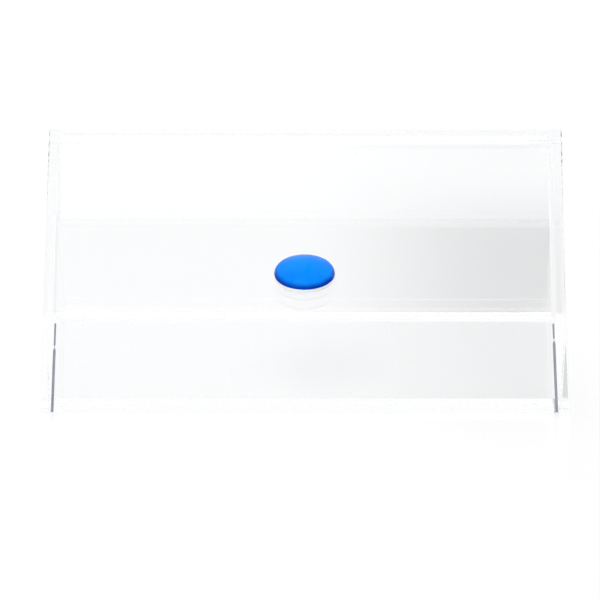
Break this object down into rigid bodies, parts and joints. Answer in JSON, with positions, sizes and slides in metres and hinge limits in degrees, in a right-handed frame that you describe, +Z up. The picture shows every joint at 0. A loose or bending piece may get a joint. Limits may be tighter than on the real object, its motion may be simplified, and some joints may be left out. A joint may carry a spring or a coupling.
{
  "type": "pick holder",
  "caption": "Low clear acrylic case for guitar picks, with leaning ends and a hinged lid lifted by a small domed blue pull.",
  "frame": {"origin": "middle of the footprint, on the surface that the case stands on", "axes": "+X along the width, +Y from the front to the hinged back, +Z up"},
  "size_m": [0.125, 0.082, 0.0319],
  "materials": {
    "clear_acrylic": "clear cast acrylic sheet, flame-polished edges",
    "clear_rod": "clear extruded acrylic rod",
    "adhesive_pad": "white foam adhesive",
    "bezel_metal": "pale polished metal cup",
    "blue_stone": "polished blue glass dome, lighter towards its crown"
  },
  "bodies": {
    "case": {"floor_panel": "clear_acrylic", "front_panel": "clear_acrylic", "back_panel": "clear_acrylic", "left_side_panel": "clear_acrylic", "right_side_panel": "clear_acrylic", "left_hinge_pin": "clear_rod", "right_hinge_pin": "clear_rod"},
    "lid": {"lid_panel": "clear_acrylic", "knob_adhesive_pad": "adhesive_pad", "knob_bezel": "bezel_metal", "knob_cabochon": "blue_stone"}
  },
  "joints": [
    {"name": "lid_hinge", "type": "hinge", "parent": "case", "child": "lid", "pos_m": [0, 0.0362, 0.0265], "axis": [-1, 0, 0], "range_deg": [0, 100]}
  ]
}
